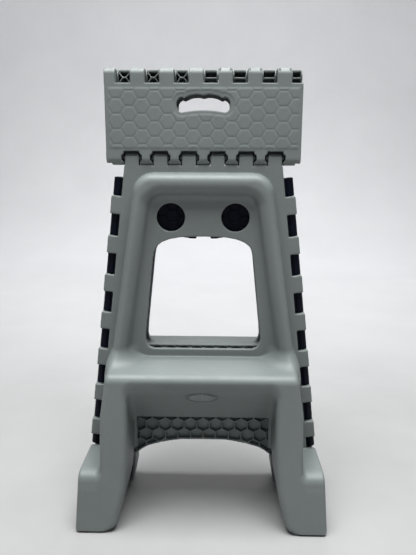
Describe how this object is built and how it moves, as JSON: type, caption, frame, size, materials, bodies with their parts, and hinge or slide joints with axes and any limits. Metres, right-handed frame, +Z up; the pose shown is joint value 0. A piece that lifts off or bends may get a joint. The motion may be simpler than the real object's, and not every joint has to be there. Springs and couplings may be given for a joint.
{
  "type": "folding step stool",
  "caption": "Fold-flat moulded step stool with a raised step between the front legs, a hand hole in the split top and concertina side panels.",
  "frame": {"origin": "on the floor under the middle of the folded stool", "axes": "+Z up, -Y towards the front face with the lower step, +X to the right seen from the front; stored folded flat"},
  "size_m": [0.3446, 0.1584, 0.6164],
  "materials": {
    "grey_plastic": "moulded polypropylene with a fine spark-eroded grain, satin",
    "black_plastic": "moulded polypropylene, satin",
    "badge_plastic": "plain oval badge, no lettering",
    "pad_rubber": "dull moulded rubber"
  },
  "bodies": {
    "front_legs": {"front_leg_panel": "grey_plastic", "badge": "badge_plastic", "pad_front_left": "pad_rubber", "pad_front_right": "pad_rubber"},
    "front_top": {"top_front": "grey_plastic"},
    "back_top": {"top_back": "grey_plastic"},
    "back_legs": {"back_leg_panel": "grey_plastic", "pad_back_left": "pad_rubber", "pad_back_right": "pad_rubber"},
    "left_front_side": {"side_left_front": "black_plastic"},
    "left_back_side": {"side_left_back": "black_plastic"},
    "right_front_side": {"side_right_front": "black_plastic"},
    "right_back_side": {"side_right_back": "black_plastic"}
  },
  "joints": [
    {"name": "front_top_fold", "type": "hinge", "parent": "front_legs", "child": "front_top", "pos_m": [0, 0.0066, 0.503], "axis": [-1, 0, 0], "range_deg": [0, 85]},
    {"name": "top_middle_fold", "type": "hinge", "parent": "front_top", "child": "back_top", "pos_m": [0, 0.0192, 0.607], "axis": [1, 0, 0], "range_deg": [0, 180]},
    {"name": "back_leg_fold", "type": "hinge", "parent": "back_top", "child": "back_legs", "pos_m": [0, 0.0318, 0.503], "axis": [-1, 0, 0], "range_deg": [0, 85]},
    {"name": "left_front_side_fold", "type": "hinge", "parent": "front_legs", "child": "left_front_side", "pos_m": [-0.1108, 0.0122, 0.503], "axis": [0.1167, 0, 0.9932], "range_deg": [0, 90.58]},
    {"name": "right_front_side_fold", "type": "hinge", "parent": "front_legs", "child": "right_front_side", "pos_m": [0.1108, 0.0122, 0.503], "axis": [0.1167, 0, -0.9932], "range_deg": [0, 90.58]},
    {"name": "left_back_side_fold", "type": "hinge", "parent": "back_legs", "child": "left_back_side", "pos_m": [-0.1108, 0.0262, 0.503], "axis": [-0.1167, 0, -0.9932], "range_deg": [0, 90.58]},
    {"name": "right_back_side_fold", "type": "hinge", "parent": "back_legs", "child": "right_back_side", "pos_m": [0.1108, 0.0262, 0.503], "axis": [-0.1167, 0, 0.9932], "range_deg": [0, 90.58]}
  ],
  "couplings": [
    {"joint": "top_middle_fold", "follows": "front_top_fold", "ratio": 2.1176},
    {"joint": "back_leg_fold", "follows": "front_top_fold", "ratio": 1},
    {"joint": "left_front_side_fold", "follows": "front_top_fold", "ratio": 1.0657},
    {"joint": "right_front_side_fold", "follows": "front_top_fold", "ratio": 1.0657},
    {"joint": "left_back_side_fold", "follows": "front_top_fold", "ratio": 1.0657},
    {"joint": "right_back_side_fold", "follows": "front_top_fold", "ratio": 1.0657}
  ]
}
